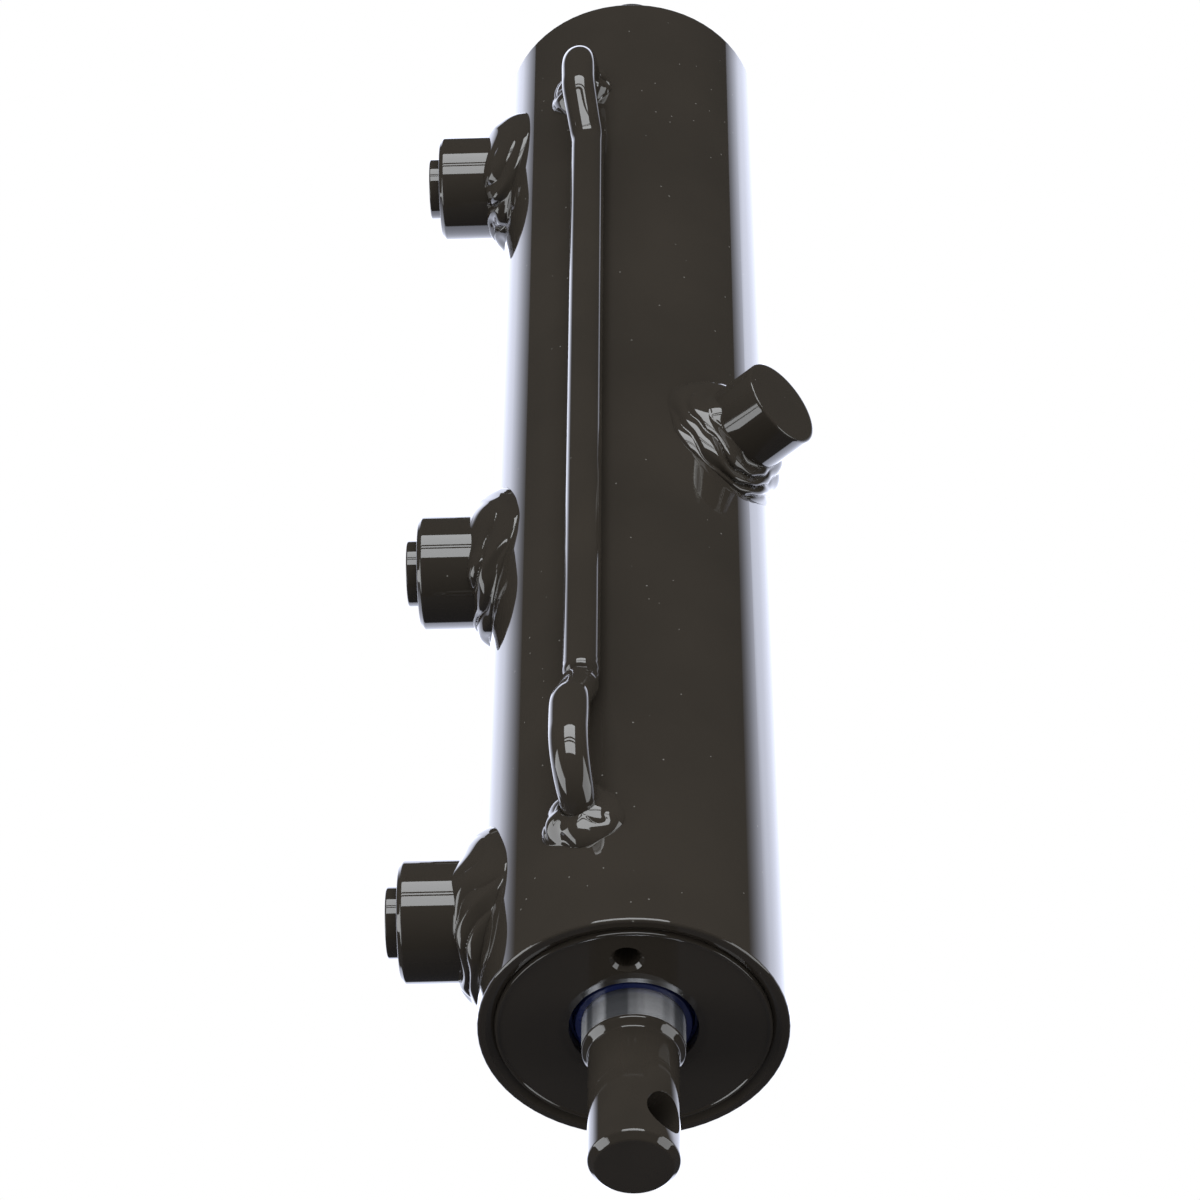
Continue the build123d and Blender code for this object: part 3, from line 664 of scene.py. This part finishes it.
half_routes = []
for foot, crest, dip, foot_angle in tube_ends.values():
    half_routes.append([spot(foot, foot_height, foot_angle),
                        spot(foot, hump_height + hump_lift, run_angle),
                        spot(crest, hump_height, run_angle), spot(dip, run_height, run_angle)])
route = bent(half_routes[0] + half_routes[1][::-1], tube_bends)
tangent = np.gradient(route, axis=0)
tangent /= np.linalg.norm(tangent, axis=1, keepdims=True)
lift_way = spot(0, 1, run_angle) - spot(0, 0, run_angle)
flank = np.cross(ALONG, lift_way)
upper = np.cross(flank, tangent)
upper /= np.linalg.norm(upper, axis=1, keepdims=True)
side = np.cross(tangent, upper)
reached = (route[:, 1] - near_face)[:, None]


def near_to(place_at, width):
    """A soft hump of 1 at a station, falling away over a width."""
    return np.exp(-((reached - place_at) / width) ** 2)


around = np.linspace(0, 2 * np.pi, 72, endpoint=False)[None, :]
on_top = np.maximum(np.cos(around), 0)
on_flank = np.abs(np.sin(around))
flattened = 0.085 * near_to(near_crest, 13.0) + 0.05 * near_to(far_crest, 12.0)
wide = 1 + flattened - 0.10 * near_to(80.2, 2.2)
tall = 1 - 1.1 * flattened
crease = 1.5 * near_to(kink, 1.5) * on_top ** 0.8 + 0.35 * near_to(far_dip, 3.0) * on_top
wrinkle = 0.22 * np.sin(2 * np.pi * reached / 2.3) * near_to(79.0, 4.0) * on_flank ** 2
outer = tube_radius + wrinkle - crease
wall_outside = (route[:, None] + (outer * tall * np.cos(around))[..., None] * upper[:, None]
                + (outer * wide * np.sin(around))[..., None] * side[:, None])
pinched = 1 - 0.3 * near_to(kink, 3.0)
wall_inside = (route[:, None] + tube_bore * (pinched * np.cos(around))[..., None] * upper[:, None]
               + tube_bore * np.sin(around)[..., None] * side[:, None])
tube = skin("crossover_pipe", np.concatenate([wall_outside, wall_inside[::-1]]), closed=True,
            sharp=50.0)
tube_paint = black_paint("tube_paint", peel_scale=600.0, peel_depth=2.0e-6, dust_share=0.1)
fit(tube, tube_paint, "barrel", "black_paint", "crossover_tube")

for end, top, leg, lump, seed in (("near", 42.7, 5.8, 0.32, 71), ("far", 42.3, 4.9, 0.8, 84)):
    foot, _, _, foot_angle = tube_ends[end]
    weld_turn = math.radians(foot_angle - 0.6)
    weld = fillet_weld(f"{end}_foot_weld", near_face + foot, weld_turn, tube_radius, top=top,
                       leg=leg, fat=0.45, passes=0.8, folds=1, rough=(0.8, 200), lump=lump,
                       seed=seed)
    fit(weld, weld_paint, "barrel", "black_paint", f"{end}_tube_weld")

# ---------------------------------------------------------------------------------------------
# Inside the barrel: seals, guides, pistons, nuts and the centre stop. The CAD pieces stay, each
# with its own material: moulded plastic and rubber, cast iron, and turned steel left oily.
# ---------------------------------------------------------------------------------------------


def turned_metal(name, colour, roughness, mark_depth, grain_depth):
    """Bare metal off a lathe: fine rings round the barrel's axis over a faint cast grain."""
    made, tree, shader = finish(name)
    shader.inputs["Metallic"].default_value = 1.0
    place_on = node(tree, "ShaderNodeSeparateXYZ", {0: object_point(tree)})
    squares = maths(tree, "ADD", maths(tree, "POWER", place_on.outputs["X"], 2.0),
                    maths(tree, "POWER", place_on.outputs["Z"], 2.0))
    ring = node(tree, "ShaderNodeCombineXYZ",
                {"X": maths(tree, "SQRT", squares), "Y": place_on.outputs["Y"]}).outputs[0]
    marks = noise(tree, ring, 4000.0, 2.0)
    drift = place(tree, slow_drift, Scale=90.0).outputs[0]
    duller = tuple(0.8 * part for part in colour)
    tree.links.new(blend_colours(tree, drift, colour, duller), shader.inputs["Base Color"])
    tree.links.new(maths(tree, "MULTIPLY_ADD", drift, 0.15, roughness), shader.inputs["Roughness"])
    grain = place(tree, orange_peel, Scale=1500.0, Depth=grain_depth).outputs[0]
    bumped(tree, shader, maths(tree, "MULTIPLY_ADD", marks, mark_depth, grain))
    return made


inner_pieces = {
    moulded("seal_green", (0.30, 0.33, 0.20), 0.35, 1500.0, 2e-6): ["rod_seal", "piston_seal"],
    moulded("guide_brown", (0.22, 0.16, 0.10), 0.60, 2600.0, 6e-6):
        ["rod_guide", "piston_front_wear_ring", "piston_back_wear_ring"],
    moulded("ring_white", (0.80, 0.79, 0.75), 0.45, 1500.0, 2e-6): ["gland_backup_ring"],
    moulded("ring_rubber", (0.02, 0.02, 0.02), 0.50, 2200.0, 3e-6):
        ["gland_o_ring", "piston_o_ring"],
    turned_metal("cast_iron", (0.20, 0.20, 0.20), 0.42, 1.5e-6, 5e-6): ["piston"],
    turned_metal("turned_steel", (0.45, 0.45, 0.46), 0.28, 1.2e-6, 1e-6): ["piston_nut"],
}
for material, pieces in inner_pieces.items():
    for end in ("near", "far"):
        for piece in pieces:
            coat_node(f"{end}_{piece}", material)
coat_node("centre_stop", bpy.data.materials["turned_steel"])
for name in ports:
    coat_node(f"{name}_port_seal", bpy.data.materials["ring_rubber"])

# ---------------------------------------------------------------------------------------------
# Studio: the cylinder lies on a clear sheet that looks white, over a lit panel that shines up into
# the sides of the barrel. Three soft boxes hang overhead, side by side with narrow gaps between
# them, and one stands at each side. The left one's top strip is parted off by a rail.
# ---------------------------------------------------------------------------------------------
sheet_height, sheet_reach = cad_low.z - 0.001, 6.0
panel_height, panel_reach = -0.42, 3.4
panel_edge_start, panel_edge_end, fade_start, fade_length = 0.10, 0.13, 0.7, 0.85
# The panel's dim level short of its near edge is a painted shadow of the cylinder on the floor.
panel_shine, panel_painted_shadow, panel_diffuse = 3.0, 0.03, 0.35
room_diffuse, room_shine = 0.60, 0.05


def level(name, height, reach, material):
    """A square stage surface, flat at a height, facing up."""
    mesh = bpy.data.meshes.new(name)
    mesh.from_pydata([(-reach, -reach, height), (reach, -reach, height), (reach, reach, height),
                      (-reach, reach, height)], [], [(0, 1, 2, 3)])
    mesh.materials.append(material)
    made = bpy.data.objects.new(name, mesh)
    bpy.context.scene.collection.objects.link(made)
    made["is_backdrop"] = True


def emitter(name):
    """A new material without its Principled shader, its tree and its output."""
    made, tree, shader = finish(name)
    tree.nodes.remove(shader)
    return made, tree, tree.nodes["Material Output"].inputs["Surface"]


def camera_sees(tree, seen, elsewhere):
    """One shader for camera rays and another for every other ray."""
    rays = node(tree, "ShaderNodeLightPath", {})
    return node(tree, "ShaderNodeMixShader", {"Fac": rays.outputs["Is Camera Ray"],
                                              1: elsewhere.outputs[0],
                                              2: seen.outputs[0]}).outputs[0]


# The sheet: white to the eye, clear to every other ray.
sheet_white, tree, surface = emitter("sheet_white")
clear = node(tree, "ShaderNodeBsdfTransparent", {})
white = node(tree, "ShaderNodeEmission", {"Color": (1, 1, 1, 1), "Strength": 1.0})
tree.links.new(camera_sees(tree, white, clear), surface)
level("floor", sheet_height, sheet_reach, sheet_white)

# The panel: lit beyond its near edge, fading sideways as e^(-(|x| - 0.7 m) / 0.85 m).
# Short of its near edge it is dim: a painted shadow of the cylinder on the floor, as the shiny
# parts see it.
panel_glow, tree, surface = emitter("panel_glow")
place_on = node(tree, "ShaderNodeSeparateXYZ", {0: object_point(tree)})
beyond = ramp(tree, place_on.outputs["Y"], panel_edge_start, panel_edge_end,
              panel_painted_shadow, 1.0)
aside = maths(tree, "SUBTRACT", maths(tree, "ABSOLUTE", place_on.outputs["X"]), fade_start)
aside = maths(tree, "DIVIDE", maths(tree, "MAXIMUM", aside, 0.0), -fade_length)
fading = maths(tree, "MULTIPLY", maths(tree, "EXPONENT", aside), panel_shine)
lit = maths(tree, "MULTIPLY", beyond, fading)
rays = node(tree, "ShaderNodeLightPath", {})
diffuse_part = maths(tree, "MULTIPLY", rays.outputs["Is Diffuse Ray"], panel_diffuse)
glossy_part = maths(tree, "MULTIPLY", rays.outputs["Is Glossy Ray"], lit)
glow = node(tree, "ShaderNodeEmission", {"Color": (0.80, 0.84, 1.0, 1),
                                         "Strength": maths(tree, "ADD", diffuse_part, glossy_part)})
tree.links.new(glow.outputs[0], surface)
level("panel", panel_height, panel_reach, panel_glow)

box_height, box_width, overhead_glow = 2.4, 2.2, 7.4
side_distance, side_station, side_depth, left_glow = 2.2, -0.75, 2.3, 5.0
right_height, right_width, right_glow = 0.3, 1.3, 3.5


def soft_box(name, centre, turn, width, depth, glow):
    """An evenly lit panel of a width along X and a depth along Y, before it is turned about Y."""
    lamp = bpy.data.lights.new(name, "AREA")
    lamp.shape = "RECTANGLE"
    lamp.size, lamp.size_y = width, depth
    lamp.energy = glow * math.pi * width * depth
    lamp.color = (0.95, 0.975, 1.0)
    hung = bpy.data.objects.new(name, lamp)
    hung.location = centre
    hung.rotation_euler = (0, math.radians(turn), 0)
    bpy.context.scene.collection.objects.link(hung)


for count, (near_edge, far_edge) in enumerate(((-0.55, 0.25), (0.37, 0.50), (0.63, 1.80))):
    soft_box(f"overhead_box_{count}", (0, (near_edge + far_edge) / 2, box_height), 0,
             box_width, far_edge - near_edge, overhead_glow)
for count, (low_edge, high_edge) in enumerate(((-0.35, 0.88), (0.905, 0.97))):
    soft_box(f"left_box_{count}", (-side_distance, side_station, (low_edge + high_edge) / 2), -90,
             high_edge - low_edge, side_depth, left_glow)
soft_box("right_box", (side_distance, side_station, right_height), 90, right_width, side_depth,
         right_glow)

# The room: white to the eye, and a dim warm fill to every other ray.
world = bpy.data.worlds.new("studio")
world.use_nodes = True
tree = world.node_tree
rays = node(tree, "ShaderNodeLightPath", {})
soft_fill = maths(tree, "MULTIPLY_ADD", rays.outputs["Is Diffuse Ray"], room_diffuse, room_shine)
fill = node(tree, "ShaderNodeBackground", {"Color": (1.0, 0.95, 0.88, 1), "Strength": soft_fill})
backdrop = node(tree, "ShaderNodeBackground", {"Color": (1, 1, 1, 1), "Strength": 1.0})
tree.links.new(camera_sees(tree, backdrop, fill), tree.nodes["World Output"].inputs["Surface"])
bpy.context.scene.world = world
bpy.context.scene.view_settings.view_transform = "Standard"

# Camera: a long lens above the near end, looking down the barrel.
lens = bpy.data.cameras.new("camera")
lens.lens = 127.6
lens.sensor_width = 36.0
lens.clip_end = 50.0
camera = bpy.data.objects.new("camera", lens)
camera_place = Vector((0.02317, -0.67793, 0.75388))
down, swing, roll = 40.86, 2.11, -2.82
look = (Matrix.Rotation(math.radians(swing), 4, "Z")
        @ Matrix.Rotation(math.radians(90 - down), 4, "X")
        @ Matrix.Rotation(math.radians(roll), 4, "Z"))
camera.matrix_world = Matrix.Translation(camera_place) @ look
bpy.context.scene.collection.objects.link(camera)
bpy.context.scene.camera = camera

low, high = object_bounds()
